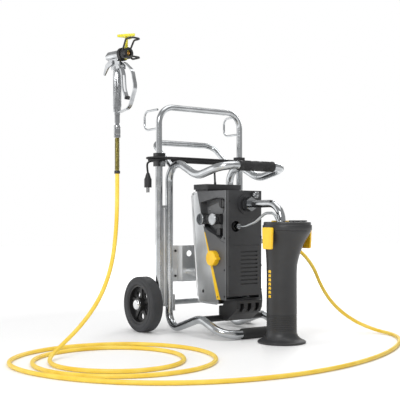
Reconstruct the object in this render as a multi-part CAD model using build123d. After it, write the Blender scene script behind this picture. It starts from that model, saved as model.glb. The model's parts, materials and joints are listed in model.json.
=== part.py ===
"""Airless paint sprayer: wheeled tube frame, pump unit, cleaning tube, hose and spray gun.

Millimetres, +Z up. Shapes are laid out about the floor point under the axle's middle, with the
front of the cart facing -Y, and every piece is moved by ORIGIN as it is written.
"""
from build123d import *
import math
import os

# ---- place of the written origin, under the middle of the object's box ----
ORIGIN = Vector(-158.186, -250.25, 0)

# ---- wheels and axle ----
WHEEL_R = 100
WHEEL_W = 50
WHEEL_X = 230.5
RIM_R = 70
AXLE_R = 10
RUN_FIT = 0.05
GAP = 0.3

# ---- tube frame ----
TUBE_R = 14
TUBE_WALL = 2
POST_X = 140
POST_Y = -35
FRONT_Y = -360
GRIP_Z = 590
FOOT_R = 18.5
REAR_TUBE_R = 11

# ---- telescopic handle ----
LEG_X = 186
LEG_Y = -38
LEG_R = 10.8
GUIDE_R = 12.5
GUIDE_BORE = 11.1
HANDLE_TOP = 816
CLAMP_Z = (599, 647)
CLAMP_HALF = 16
CLAMP_SCREW_Z = 608

# ---- pump unit ----
PUMP_X = 76
COVER_FRONT = -290
FRONT_FACE = -303
COVER_TOP = 508
COVER_BOTTOM = 127
SHEET = 3
REAR_TOP = (-121, 505)
REAR_FOOT = (-241, 120)
POCKET_FLOOR = -49
PISTON_X = 24
MOTOR_Y = -200
MOTOR_Z = 235
STATOR_R = 50
PISTON_Y = -200
PISTON_R = 11.95
ECCENTRIC_R = 20
ECCENTRIC_OFFSET = 4
INLET_Z = 460
RETURN_X = -42
RETURN_Z = 383
GAUGE_Y = (-164, -238)
GAUGE_Z = 408
GAUGE_R = 20
GAUGE_STEM_X = -82
GAUGE_STEM_R = 6
KNOB_Y = -226
KNOB_Z = 271
KNOB_R = 27
STRIPE_PROUD = 1.2

# ---- cleaning tube ----
CLEAN_Y = -493
CUP_Y = -520
CLEAN_R = 50
CUP_R = 80.5
RIM_Z = (371, 389)

# ---- spray gun, with its barrel along the gun's own -Y ----
GUN_X = -549
GUN_Y = -361
GUN_YAW = 10
BARREL_Z = 905
GRIP_FOOT = 733
TIP_Y = -43
TRIGGER_PIN = (-18, 872)

# ---- hose and mains lead ----
HOSE_R = 6.25
LEAD_R = 3.6
CORNER_SHARE = 0.45
COIL_Z = (619.2, 633.6)
COIL_X = 174
COIL_Y = -27
COIL_IN = 39.2
COIL_OUT = 53.6

HOSE_ROUTE = [
    (130, -270, 330), (184, -270, 330), (240, -312, 303), (272, -358, 240), (292, -377, 166),
    (325, -408, 97), (378, -452, 42), (425, -515, 11), (425, -595, 6.4), (360, -685, 6.4),
    (255, -770, 6.4), (120, -850, 6.4), (-25, -910, 6.4), (-180, -950, 6.4), (-345, -965, 6.4),
    (-510, -945, 6.4), (-665, -885, 6.4), (-790, -785, 6.4), (-880, -650, 6.4),
    (-925, -490, 6.4), (-900, -340, 6.4), (-790, -230, 6.4), (-630, -185, 6.4),
    (-460, -230, 6.4), (-350, -355, 6.4), (-325, -515, 6.4), (-385, -660, 6.4),
    (-515, -755, 6.4), (-665, -760, 6.4), (-790, -695, 6.4), (-865, -580, 6.4),
    (-870, -450, 6.4), (-810, -330, 6.4), (-695, -265, 6.4), (-560, -265, 6.4),
    (-450, -350, 6.4), (-415, -480, 6.4), (-460, -605, 6.4), (-560, -680, 6.4),
    (-680, -680, 6.4), (-775, -610, 6.4), (-820, -505, 6.4), (-800, -400, 8),
    (-736, -343, 30), (-665, -352, 92), (-610, -371, 175), (-577, -379, 270),
    (-559, -372, 370), (-551, -365, 462), (-549, -361, 546),
]
LEAD_ROUTE = [(30, -88, 520), (33, -85, 556), (41, -79, 590), (46, -73.8, 619.2)]
TAIL_ROUTE = [(-214, -3.5, 619.2), (-216, -5, 597), (-214, -7, 575)]


# ---- shapes used over and over ----
def block(x, y, z):
    """Box between two limits on each axis."""
    centre = Pos((x[0] + x[1]) / 2, (y[0] + y[1]) / 2, (z[0] + z[1]) / 2)
    return centre * Box(x[1] - x[0], y[1] - y[0], z[1] - z[0])


def rod(start, end, radius, bore=0):
    """Round bar, or a tube where a bore is given, between two points."""
    reach = Vector(*end) - Vector(*start)
    plane = Plane(origin=start, z_dir=reach.normalized())
    section = Circle(radius) - Circle(bore) if bore else Circle(radius)
    return extrude(plane * section, reach.length)


def hexagon(start, end, flats):
    """Hexagonal bar between two points, with its size across the flats."""
    reach = Vector(*end) - Vector(*start)
    plane = Plane(origin=start, z_dir=reach.normalized())
    return extrude(plane * RegularPolygon(flats / 2, 6, major_radius=False), reach.length)


def bent_tube(points, radii, radius, bore=0):
    """Tube along straight runs that are joined by arcs."""
    path = FilletPolyline(*points, radius=radii)
    section = Circle(radius) - Circle(bore) if bore else Circle(radius)
    return sweep(Plane(origin=path @ 0, z_dir=path % 0) * section, path=path)


def yz_face(points):
    """Closed outline in the side view, from (y, z) points."""
    return make_face(Polyline(*points, close=True))


def yz_prism(face, x):
    """Side-view outline carried from one x to another."""
    return extrude(Plane.YZ.offset(x[0]) * face, x[1] - x[0])


def both_sides(shape):
    """A shape with its mirror image on the other side of the cart."""
    return Compound(children=[*shape.solids(), *mirror(shape, Plane.YZ).solids()])


def hemmed(solid, radius, axis=Axis.Z):
    """A solid with its edges along one axis rounded."""
    return fillet(solid.edges().filter_by(axis), radius)


# ---- tube frame ----
def frame_path():
    """One side of the frame loop, from the grip's middle round to the foot's middle."""
    points = [(0, FRONT_Y, GRIP_Z), (POST_X, FRONT_Y, GRIP_Z), (POST_X, -210, 558),
              (POST_X, POST_Y, 640), (POST_X, POST_Y, 0), (POST_X, -230, 64),
              (POST_X, FRONT_Y, FOOT_R), (0, FRONT_Y, FOOT_R)]
    return points, [55, 100, 60, 50, 90, 55]


def frame_right():
    points, radii = frame_path()
    return bent_tube(points, radii, TUBE_R, TUBE_R - TUBE_WALL)


def frame_right_filled():
    """The same tube without its bore, for coping other pieces to it."""
    points, radii = frame_path()
    return bent_tube(points, radii, TUBE_R)


def sleeve(z, half, radius):
    """Moulded sleeve over a front cross bar, with rounded ends."""
    body = fillet(rod((-half, FRONT_Y, z), (half, FRONT_Y, z), radius).edges(), 3)
    return body - rod((-half, FRONT_Y, z), (half, FRONT_Y, z), TUBE_R)


def rear_bar(coping):
    """U-shaped bar behind the posts, welded to the upper bends."""
    points = [(POST_X, -58, 592.6), (POST_X, 75, 697), (-POST_X, 75, 697), (-POST_X, -58, 592.6)]
    bar = bent_tube(points, [40, 40], REAR_TUBE_R, REAR_TUBE_R - TUBE_WALL)
    return bar - coping - mirror(coping, Plane.YZ)


def guide_tube():
    return rod((LEG_X, LEG_Y, 92), (LEG_X, LEG_Y, 625), GUIDE_R, GUIDE_BORE)


def clamp_collar():
    """Split clamp that holds the sliding leg at the top of its guide tube."""
    depth = (LEG_Y - CLAMP_HALF, LEG_Y + CLAMP_HALF)
    body = hemmed(block((LEG_X - 20, LEG_X + 18), depth, CLAMP_Z), 7)
    body -= rod((LEG_X, LEG_Y, CLAMP_Z[0]), (LEG_X, LEG_Y, 625), GUIDE_R)
    body -= rod((LEG_X, LEG_Y, 625), (LEG_X, LEG_Y, CLAMP_Z[1]), LEG_R + 0.2)
    screw = rod((LEG_X, depth[0], CLAMP_SCREW_Z), (LEG_X, LEG_Y - GUIDE_R, CLAMP_SCREW_Z), 3)
    return body - offset(screw, RUN_FIT)


def clamp_knob(side):
    """Knurled screw knob on the front of a clamp."""
    x = side * LEG_X
    z = CLAMP_SCREW_Z
    front = LEG_Y - CLAMP_HALF
    knob = rod((x, front - GAP, z), (x, front - 13, z), 9)
    for turn in range(12):
        angle = math.radians(30 * turn)
        groove = (x + 9.4 * math.cos(angle), z + 9.4 * math.sin(angle))
        knob -= rod((groove[0], front, groove[1]), (groove[0], front - 13, groove[1]), 1.2)
    return knob + rod((x, front + 3, z), (x, front - 1, z), 3)


def side_plate(coping):
    """Web between a guide tube and its post, stiffened by a long bead."""
    plate = block((POST_X + 12, LEG_X - 11), (LEG_Y, LEG_Y + 4), (92, 458))
    bead = rod((POST_X + 23.5, LEG_Y, 104), (POST_X + 23.5, LEG_Y, 446), 4.5)
    bead += Pos(POST_X + 23.5, LEG_Y, 104) * Sphere(4.5)
    bead += Pos(POST_X + 23.5, LEG_Y, 446) * Sphere(4.5)
    return plate + bead - coping - rod((LEG_X, LEG_Y, 80), (LEG_X, LEG_Y, 470), GUIDE_R)


def axle_bracket(coping):
    """Plate that carries the axle behind a post."""
    outline = yz_face([(-44, 74), (6, 84), (14, 100), (6, 116), (-44, 134)])
    plate = yz_prism(outline, (POST_X - 20, POST_X - 8))
    return plate - coping - rod((100, 0, 100), (150, 0, 100), AXLE_R)


def cross_bracket(coping):
    """Folded sheet between the posts, with two stand-offs that carry the pump."""
    profile = [(-130, POST_Y), (-104, POST_Y), (-94, -52), (-34, -52), (-24, POST_Y),
               (24, POST_Y), (34, -52), (94, -52), (104, POST_Y), (130, POST_Y)]
    sheet = extrude(Pos(0, 0, 179) * trace(Polyline(*profile), SHEET), 133)
    for x in (-64, 64):
        sheet -= rod((x, -40, 282), (x, -60, 282), 11)
        sheet += rod((x, -53.5, 215), (x, -104, 215), 14)
    return sheet - coping - mirror(coping, Plane.YZ)


def fasteners():
    """Pan-head screws of the covers and of the cross bracket."""
    heads = []
    for z in (470, 345, 245, 160):
        heads.append(rod((-71, FRONT_FACE - 1.6, z), (-71, FRONT_FACE, z), 3.2))
        heads.append(rod((71, FRONT_FACE - 1.6, z), (71, FRONT_FACE, z), 3.2))
    for x in (-114, -14, 14, 114):
        heads.append(rod((x, -36.5, 292), (x, -39.5, 292), 4.5))
        heads.append(rod((x, -36.5, 200), (x, -39.5, 200), 4.5))
    return Compound(children=heads)


def support_bracket(coping):
    """Cast foot of the pump on a cross tube between the lower bends."""
    cross = rod((-130, -232, 60), (130, -232, 60), REAR_TUBE_R)
    foot = yz_face([(-222, 58), (-262, 52), (-300, 78), (-322, 100), (-322, COVER_BOTTOM),
                    (-246, COVER_BOTTOM), (-246, 104), (-222, 104)])
    cast = hemmed(yz_prism(foot, (-54, 60)), 5, Axis.X)
    for x in (-30, 4, 38):
        cast -= block((x - 8, x + 8), (-330, -306), (84, 116))
    return cross + cast - coping - mirror(coping, Plane.YZ)


# ---- telescopic handle ----
def handle_bar():
    points = [(-LEG_X, LEG_Y, 300), (-LEG_X, LEG_Y, HANDLE_TOP), (LEG_X, LEG_Y, HANDLE_TOP),
              (LEG_X, LEG_Y, 300)]
    return bent_tube(points, [60, 60], LEG_R, LEG_R - TUBE_WALL)


def side_hook():
    """Wire hook behind a handle leg, for hanging up the hose."""
    points = [(LEG_X, LEG_Y, 806), (LEG_X, 60, 806), (LEG_X, 60, 737), (LEG_X, LEG_Y, 737)]
    return bent_tube(points, [24, 24], 4) - rod((LEG_X, LEG_Y, 700), (LEG_X, LEG_Y, 815), LEG_R)


# ---- wheels ----
def tyre():
    """Solid rubber tyre with a rounded tread and a shallow groove in each flank."""
    section = Pos(0, (WHEEL_R + RIM_R) / 2) * RectangleRounded(WHEEL_W, WHEEL_R - RIM_R, 9)
    ring = revolve(section, Axis.X, 360)
    for x in (-WHEEL_W / 2, WHEEL_W / 2):
        ring -= rod((x - 1, 0, 0), (x + 1, 0, 0), 88, 85)
    return ring


def rim(side):
    """Spoked plastic wheel centre with its domed hub cap."""
    shell = rod((-19, 0, 0), (19, 0, 0), RIM_R, RIM_R - 6)
    hub = rod((-24, 0, 0), (24, 0, 0), 24)
    web = rod((-4, 0, 0), (4, 0, 0), RIM_R - 5)
    for turn in range(5):
        spoke = block((-9, 9), (-6, 6), (22, RIM_R - 4))
        web += Rot(X=72 * turn) * spoke
        window = rod((-6, 0, 44), (6, 0, 44), 12)
        web -= Rot(X=72 * turn + 36) * window
    wheel = shell + hub + web - rod((-30, 0, 0), (30, 0, 0), AXLE_R + RUN_FIT)
    cap = rod((24 * side, 0, 0), (34 * side, 0, 0), 19.5)
    cap = fillet(cap.faces().sort_by(Axis.X)[-1 if side > 0 else 0].edges(), 8.5)
    return Compound(children=[wheel.solid(), cap.solid()])


def on_axle(shape, side):
    return Pos(side * WHEEL_X, 0, WHEEL_R) * shape


# ---- pump unit ----
def cover_outline():
    """Side view of the covers, with the rear edge slanting in towards the bottom."""
    slant = (REAR_FOOT[0] - REAR_TOP[0]) / (REAR_FOOT[1] - REAR_TOP[1])
    top_y = REAR_TOP[0] + slant * (COVER_TOP - REAR_TOP[1])
    foot_y = REAR_FOOT[0] + slant * (COVER_BOTTOM - REAR_FOOT[1])
    return [(COVER_FRONT, COVER_BOTTOM), (foot_y, COVER_BOTTOM), (top_y, COVER_TOP),
            (COVER_FRONT, COVER_TOP)]


def cover_side():
    """Left-hand channel: side wall with a top and a bottom flange."""
    outer = yz_prism(yz_face(cover_outline()), (-PUMP_X, -GAP / 2))
    hollow = block((-PUMP_X + SHEET, 1), (COVER_FRONT - 1, 0), (COVER_BOTTOM + SHEET, 505))
    return outer - hollow


def pocket_face():
    """Recess in the left cover that leaves the pressure side of the pump in reach."""
    return yz_face([(-149, 388), (-141, 468), (-232, 484), (-282.5, 482), (-282.5, 440),
                    (-274, 425), (-274, 352), (-262, 338), (-190, 366)])


def left_cover():
    """Left cover with its recess sunk into it as a walled box."""
    walls = yz_prism(offset(pocket_face(), 2.4), (-PUMP_X + 1, POCKET_FLOOR + SHEET))
    body = cover_side() + walls
    body -= yz_prism(pocket_face(), (-PUMP_X - 1, POCKET_FLOOR))
    body -= rod((POCKET_FLOOR - 1, -200, GAUGE_Z), (POCKET_FLOOR + 4, -200, GAUGE_Z), 9)
    body -= rod((-60, -264, 462), (-40, -264, 462), 6.05)
    body -= rod((-80, KNOB_Y, KNOB_Z), (-70, KNOB_Y, KNOB_Z), 5.05)
    return body & yz_prism(yz_face(cover_outline()), (-PUMP_X, 0))


def right_cover():
    """Right cover with vents and a hole for the hose outlet."""
    body = mirror(cover_side(), Plane.YZ)
    body -= rod((60, -270, 330), (80, -270, 330), 12)
    for z in range(180, 300, 16):
        body -= block((70, 80), (-280, -245), (z, z + 5))
    return body


def front_cover():
    """Lower front cover with rounded corners, louvres and the return-port recess."""
    body = hemmed(block((-PUMP_X, PUMP_X), (FRONT_FACE, COVER_FRONT - GAP), (141, 414.6)), 5.5)
    body -= block((-PUMP_X + 8, PUMP_X - 8), (FRONT_FACE + 4, COVER_FRONT), (146, 409))
    for row in range(9):
        z = 180 + 14 * row
        body -= block((-20, 55), (FRONT_FACE - 1, FRONT_FACE + 5), (z, z + 5))
    body -= block((-56, 62), (FRONT_FACE - 1, FRONT_FACE + 1.5), (315, 319))
    return body - rod((RETURN_X, -310, RETURN_Z), (RETURN_X, -280, RETURN_Z), 19)


def upper_block():
    """Upper front cover round the paint inlet."""
    body = hemmed(block((-PUMP_X, PUMP_X), (FRONT_FACE, COVER_FRONT - GAP), (415, COVER_TOP)), 5.5)
    boss = rod((0, FRONT_FACE - 5, INLET_Z), (0, COVER_FRONT - GAP, INLET_Z), 34)
    inlet = rod((0, -320, INLET_Z), (0, -280, INLET_Z), 23)
    return body + boss - inlet


def top_tray():
    """Shallow tool tray on top of the pump."""
    tray = hemmed(block((-80, 80), (-185, -100), (515, 533)), 8)
    tray -= hemmed(block((-75, 75), (-180, -105), (523, 540)), 5)
    return tray + block((-72, 72), (-180, -105), (COVER_TOP, 515))


def cover_stripe():
    """Raised trim along the rear edge of the left cover, widening downwards."""
    outline = cover_outline()
    slant = (outline[2][0] - outline[1][0]) / (outline[2][1] - outline[1][1])
    low = outline[1][0]
    high = low + slant * (362 - COVER_BOTTOM)
    band = yz_prism(yz_face([(low - 20, COVER_BOTTOM), (low, COVER_BOTTOM), (high, 362),
                             (high - 4, 362)]), (-PUMP_X - STRIPE_PROUD, -PUMP_X))
    knob_room = rod((-PUMP_X - 5, KNOB_Y, KNOB_Z), (-PUMP_X + 5, KNOB_Y, KNOB_Z), KNOB_R + 1)
    return band - knob_room


def pump_chassis():
    """Sheet-metal back of the pump, closed behind and open towards the covers."""
    slant = (REAR_FOOT[0] - REAR_TOP[0]) / (REAR_FOOT[1] - REAR_TOP[1])
    front_low = REAR_FOOT[0] + slant * (110 - REAR_FOOT[1]) + 1
    outline = [(front_low, 110), (-118, 110), (-80, 505), (REAR_TOP[0] + 1, 505)]
    outer = hemmed(yz_prism(yz_face(outline), (-70, 70)), 6, Axis.X)
    inner = [(front_low - 30, 113.5), (-121, 113.5), (-83.5, 501.5), (REAR_TOP[0] - 20, 501.5)]
    body = outer - yz_prism(yz_face(inner), (-66.5, 66.5))
    body += block((-44, 44), (-280, -97.5), (332, 338))
    saddle = block((-30, 0), (-170, -106), (222, 248))
    body += saddle - rod((-50, MOTOR_Y, MOTOR_Z), (10, MOTOR_Y, MOTOR_Z), STATOR_R)
    body -= rod((PISTON_X, PISTON_Y, 320), (PISTON_X, PISTON_Y, 345), 16)
    body -= rod((-66, -150, 150), (-75, -150, 150), 6)
    return body - rod((-66, -140, 420), (-75, -140, 420), 4)


def lead_gland():
    """Strain-relief gland of the mains lead on the chassis."""
    return rod((30, -88, 505), (30, -88, 520), 6.5)


def motor_stator():
    """Wound stator as a ring round the rotor."""
    return rod((-44, MOTOR_Y, MOTOR_Z), (4, MOTOR_Y, MOTOR_Z), STATOR_R, 36)


def motor_rotor():
    """Rotor and shaft with the eccentric that drives the piston."""
    rotor = rod((-42, MOTOR_Y, MOTOR_Z), (2, MOTOR_Y, MOTOR_Z), 35.4)
    rotor += rod((-52, MOTOR_Y, MOTOR_Z), (42, MOTOR_Y, MOTOR_Z), 6)
    low = MOTOR_Z - ECCENTRIC_OFFSET
    return rotor + rod((16, MOTOR_Y, low), (32, MOTOR_Y, low), ECCENTRIC_R)


def pump_piston():
    """Piston with the flat foot that the eccentric pushes."""
    foot_z = MOTOR_Z + ECCENTRIC_OFFSET + ECCENTRIC_R + 0.6
    foot = rod((PISTON_X, PISTON_Y, foot_z), (PISTON_X, PISTON_Y, foot_z + 5), 15)
    return foot + rod((PISTON_X, PISTON_Y, foot_z), (PISTON_X, PISTON_Y, 375), PISTON_R)


def hydraulic_housing():
    """Pump head: piston bore, inlet boss, return port and pressure outlets."""
    body = hemmed(block((-44, 44), (-286, -160), (338, 482)), 6)
    body += rod((0, -286, INLET_Z), (0, -316, INLET_Z), 22.5)
    body += rod((-40, -286, RETURN_Z), (-40, -294, RETURN_Z), 4)
    body += rod((RETURN_X, -288, RETURN_Z), (RETURN_X, -300, RETURN_Z), 11)
    body += rod((-44, -200, GAUGE_Z), (-52, -200, GAUGE_Z), 8)
    body -= rod((0, -250, INLET_Z), (0, -320, INLET_Z), 10)
    return body - rod((PISTON_X, PISTON_Y, 330), (PISTON_X, PISTON_Y, 390), 12)


def pressure_manifold():
    """Round pressure filter housing in the recess, with a hexagon on its cap."""
    body = rod((-70, -156, GAUGE_Z), (-70, -262, GAUGE_Z), 18.5)
    body -= rod((-52, -200, GAUGE_Z), (-44, -200, GAUGE_Z), 8)
    body += hexagon((-70, -262, GAUGE_Z), (-70, -270, GAUGE_Z), 30)
    for y in (-216, -182):
        body -= rod((-70, y - 1, GAUGE_Z), (-70, y + 1, GAUGE_Z), 20, 17.5)
    for y in GAUGE_Y:
        socket = rod((-95, y, GAUGE_Z), (GAUGE_STEM_X + GAP, y, GAUGE_Z), GAUGE_STEM_R + GAP)
        body -= socket
    return body


def gauge_case(y):
    """Round gauge case with a raised bezel and a sunk dial."""
    case = rod((-88.8, y, GAUGE_Z), (-97, y, GAUGE_Z), GAUGE_R)
    case -= rod((-93.5, y, GAUGE_Z), (-98, y, GAUGE_Z), GAUGE_R - 2)
    return case + rod((-88.8, y, GAUGE_Z), (GAUGE_STEM_X, y, GAUGE_Z), GAUGE_STEM_R)


def gauge_needle(y):
    """Pointer on its small hub, over the dial."""
    hub = rod((-93.8, y, GAUGE_Z), (-95.6, y, GAUGE_Z), 2.4)
    pointer = Pos(-94.6, y, GAUGE_Z) * Rot(X=35) * Pos(0, 0, 6) * Box(1, 1.6, 14)
    return hub + pointer


def pressure_knob():
    """Fluted pressure knob with a pointer nose, on its spindle."""
    x = -PUMP_X - GAP
    knob = rod((x, KNOB_Y, KNOB_Z), (x - 20, KNOB_Y, KNOB_Z), KNOB_R)
    knob = fillet(knob.faces().sort_by(Axis.X)[0].edges(), 4)
    nose_x = (x - 18, x - STRIPE_PROUD - GAP)
    nose = block(nose_x, (KNOB_Y - 34, KNOB_Y - 20), (KNOB_Z - 4, KNOB_Z + 4))
    for turn in range(18):
        flute = block((x - 30, x + 1), (-1.4, 1.4), (26, 30))
        knob -= Pos(0, KNOB_Y, KNOB_Z) * Rot(X=20 * turn + 10) * flute
    return knob + nose + rod((x, KNOB_Y, KNOB_Z), (-62, KNOB_Y, KNOB_Z), 5)


def relief_knob():
    """Round valve knob in the recess."""
    x = POCKET_FLOOR - GAP
    knob = rod((x, -264, 462), (x - 26, -264, 462), 16)
    knob = fillet(knob.faces().sort_by(Axis.X)[0].edges(), 2)
    knob -= block((x - 30, x - 23), (-266, -262), (440, 484))
    return knob + rod((x, -264, 462), (-44.2, -264, 462), 6)


def power_switch():
    """Rocker switch at the foot of the recess."""
    return hemmed(block((-72, POCKET_FLOOR - GAP), (-252, -232), (352, 376)), 3, Axis.X)


def pipe_nuts():
    """Union nuts of the suction pipe and the return pipe."""
    large = hexagon((0, -316, INLET_Z), (0, -338, INLET_Z), 44)
    large -= rod((0, -316, INLET_Z), (0, -340, INLET_Z), 13)
    small = hexagon((RETURN_X, -300, RETURN_Z), (RETURN_X, -320, RETURN_Z), 17)
    small -= rod((RETURN_X, -300, RETURN_Z), (RETURN_X, -321, RETURN_Z), 4.5)
    return Compound(children=[large.solid(), small.solid()])


def suction_pipe():
    points = [(0, -318, INLET_Z), (0, CLEAN_Y, INLET_Z), (0, CLEAN_Y, 70)]
    return bent_tube(points, [60], 13, 11)


def return_pipe():
    points = [(RETURN_X, -304, RETURN_Z), (RETURN_X, -356, RETURN_Z), (-40, -406, 398),
              (-34, -450, 428), (-30, -488, 428), (-28, -510, 396), (-28, -508, 250)]
    return bent_tube(points, [60, 60, 40, 20, 20], 4.5, 3)


def hose_outlet():
    """High-pressure outlet with the hose's swivel nut and crimped ferrule."""
    body = rod((44, -270, 350), (60, -270, 350), 9)
    body += rod((58, -270, 330), (100, -270, 330), 8)
    body += block((50, 60), (-279, -261), (322, 359))
    body += hexagon((79, -270, 330), (95, -270, 330), 22)
    return body + rod((100, -270, 330), (130, -270, 330), 9.5)


# ---- cleaning tube ----
def cup(inset):
    """Outside of the tube for no inset, or its hollow for the wall's thickness."""
    low = Plane.XY.offset(250) * Pos(0, CLEAN_Y) * Circle(CLEAN_R - inset)
    high = Plane.XY.offset(RIM_Z[0]) * Pos(0, CUP_Y) * Circle(CUP_R - 1 - inset)
    flare = loft([low, high])
    stem = rod((0, CLEAN_Y, 6 if inset else 4), (0, CLEAN_Y, 250), CLEAN_R - inset)
    collar = rod((0, CUP_Y, RIM_Z[0]), (0, CUP_Y, RIM_Z[1]), CUP_R - inset)
    return flare + stem + collar


def cleaning_tube():
    """Flared tube that the pump's pipes stand in, on a wide foot."""
    foot = Pos(0, CLEAN_Y, 0) * rod((0, 0, 0), (0, 0, 8), 80)
    cone = Pos(0, CLEAN_Y, 8) * Cone(76, CLEAN_R, 26, align=(Align.CENTER, Align.CENTER, Align.MIN))
    band = block((-14, 14), (CLEAN_Y - CLEAN_R - 1.5, CLEAN_Y), (40, 200))
    return foot + cone + cup(0) + band - cup(3) - rod((0, CLEAN_Y, 8), (0, CLEAN_Y, 60), CLEAN_R - 3)


def tube_lid():
    """Lid inside the rim, with holes for the two pipes."""
    lid = rod((0, CUP_Y, 380), (0, CUP_Y, 399), CUP_R - 3.2)
    lid = fillet(lid.faces().sort_by(Axis.Z)[-1].edges(), 4)
    lid -= rod((0, CUP_Y, 379), (0, CUP_Y, 390), CUP_R - 6)
    lid -= rod((0, CLEAN_Y, 370), (0, CLEAN_Y, 405), 13.2)
    lid -= rod((-28.5, -508, 370), (-28.5, -508, 405), 11)
    clip = block((-2, 66), (CUP_Y - 26, CUP_Y - 8), (399, 404))
    return lid + hemmed(clip, 4)


def latch(side):
    """Tapered latch plate on the side of the cup's rim."""
    outline = yz_face([(CUP_Y - 24, 381), (CUP_Y + 24, 381), (CUP_Y + 21, 311), (CUP_Y - 21, 311)])
    near = side * (CUP_R + GAP)
    far = side * (CUP_R + GAP + 7)
    plate = hemmed(yz_prism(outline, (min(near, far), max(near, far))), 5, Axis.X)
    return fillet(plate.faces().sort_by(Axis.X)[0 if side < 0 else -1].edges(), 1.5)


# ---- spray gun ----
def in_gun(shape):
    """From the gun's own layout to its place at the end of the hose."""
    return Pos(GUN_X, GUN_Y, 0) * Rot(Z=GUN_YAW) * shape


def gun_body():
    """Cast head with the filter handle under it."""
    grip = rod((0, 0, GRIP_FOOT), (0, 0, 870), 12)
    for turn in range(10):
        angle = math.radians(36 * turn)
        at = (13 * math.cos(angle), 13 * math.sin(angle))
        grip -= rod((at[0], at[1], 742), (at[0], at[1], 862), 2.2)
    grip += rod((0, 0, GRIP_FOOT - 9), (0, 0, GRIP_FOOT), 9)
    neck = hemmed(block((-10, 10), (-12, 18), (862, 905)), 4)
    barrel = rod((0, 34, BARREL_Z), (0, -20, BARREL_Z), 15)
    barrel += rod((0, 34, BARREL_Z), (0, 44, BARREL_Z), 10)
    lugs = block((-12.5, -8.8), (-25, -8), (862, 884)) + block((8.8, 12.5), (-25, -8), (862, 884))
    pin = rod((-14, *TRIGGER_PIN), (14, *TRIGGER_PIN), 2.5)
    lock_pin = rod((10, 12, 884), (-15.5, 12, 884), 3)
    return grip + neck + barrel + lugs + pin + lock_pin


def trigger_guard():
    """Flat strap from the head's front down to the foot of the handle."""
    line = FilletPolyline((-12.5, 883), (-36, 879), (-70, 852), (-84, 800), (-58, 741), (-10, 731),
                          radius=[16, 30, 40, 30])
    strap = yz_prism(trace(line, 3), (-7, 7))
    return strap - rod((0, 0, 700), (0, 0, 800), 12)


def trigger():
    """Two-finger trigger with a ring round the head's pin and a black tip."""
    line = FilletPolyline(TRIGGER_PIN, (-28, 845), (-32, 800), (-46, 768), radius=[30, 40])
    blade = yz_prism(trace(line, 5), (-8, 8))
    eye = rod((-8, *TRIGGER_PIN), (8, *TRIGGER_PIN), 5.4)
    slot = block((-4, 4), (-50, -20), (790, 842))
    return blade + eye - slot - rod((-10, *TRIGGER_PIN), (10, *TRIGGER_PIN), 2.5 + RUN_FIT)


def trigger_lock():
    """Small lever on the side of the head that blocks the trigger."""
    outline = yz_face([(6, 890), (6, 878), (26, 868), (44, 846), (48, 852), (38, 880), (18, 892)])
    lever = hemmed(yz_prism(outline, (-14.8, -10.4)), 2, Axis.X)
    return lever - rod((-20, 12, 884), (0, 12, 884), 3 + RUN_FIT)


def tip_guard():
    """Nut and guard at the nozzle, with a looped wing above and below."""
    guard = rod((0, -20 - GAP, BARREL_Z), (0, -31, BARREL_Z), 20)
    for turn in range(16):
        flute = Pos(0, -25, BARREL_Z) * Rot(Y=22.5 * turn) * Pos(0, 0, 21) * Box(3, 14, 3)
        guard -= flute
    guard += rod((0, -31, BARREL_Z), (0, -55, BARREL_Z), 17)
    for rise in (40, -16):
        reach = 46 + abs(rise) / 3
        wing = [(-14, -42, BARREL_Z + rise / 4), (-16, -reach, BARREL_Z + rise),
                (-16, -88, BARREL_Z + rise), (16, -88, BARREL_Z + rise),
                (16, -reach, BARREL_Z + rise), (14, -42, BARREL_Z + rise / 4)]
        guard += bent_tube(wing, [8, 10, 10, 8], 2.8)
    guard -= rod((0, -48, BARREL_Z), (0, -60, BARREL_Z), 9)
    return guard - rod((0, TIP_Y, 880), (0, TIP_Y, 930), 7 + RUN_FIT)


def spray_tip():
    """Reversible tip: barrel, stem and arrow-shaped key."""
    tip = rod((0, TIP_Y, 889), (0, TIP_Y, 924), 7)
    tip -= rod((0, TIP_Y - 8, BARREL_Z), (0, TIP_Y + 8, BARREL_Z), 1.2)
    tip += rod((0, TIP_Y, 924), (0, TIP_Y, 953), 4.5)
    outline = [(-27, 16), (0, 8), (27, 16), (12, -18), (0, -40), (-12, -18)]
    key = Pos(0, TIP_Y, 953) * make_face(Polyline(*outline, close=True))
    return tip + hemmed(extrude(key, 7), 2.5)


def hose_fitting():
    """Swivel between the hose and the gun's handle."""
    body = rod((0, 0, 655), (0, 0, 700), 6.5)
    body += hexagon((0, 0, 662), (0, 0, 688), 17)
    body += rod((0, 0, 700), (0, 0, GRIP_FOOT - 9 - GAP), 8)
    return body


def spring_guard():
    """Bend restrictor where the hose meets the swivel."""
    return rod((0, 0, 546), (0, 0, 555), 9) + rod((0, 0, 555), (0, 0, 655), 8)


# ---- hose and mains lead ----
def cord_radii(route):
    """Largest arc at each corner that both of its runs leave room for."""
    radii = []
    for before, corner, after in zip(route, route[1:], route[2:]):
        run_in = Vector(*corner) - Vector(*before)
        run_out = Vector(*after) - Vector(*corner)
        half_turn = math.radians(run_in.get_angle(run_out)) / 2
        radii.append(CORNER_SHARE * min(run_in.length, run_out.length) / math.tan(half_turn))
    return radii


def cord(name, route, radius):
    """Round cord along its route, with its radii and its volume printed."""
    radii = cord_radii(route)
    path = FilletPolyline(*route, radius=radii)
    tube = sweep(Plane(origin=path @ 0, z_dir=path % 0) * Circle(radius), path=path)
    swept = math.pi * radius ** 2 * path.length
    print(name, "length", round(path.length), "least radius", round(min(radii), 1),
          "volume ratio", round(tube.volume / swept, 4))
    return tube


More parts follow.
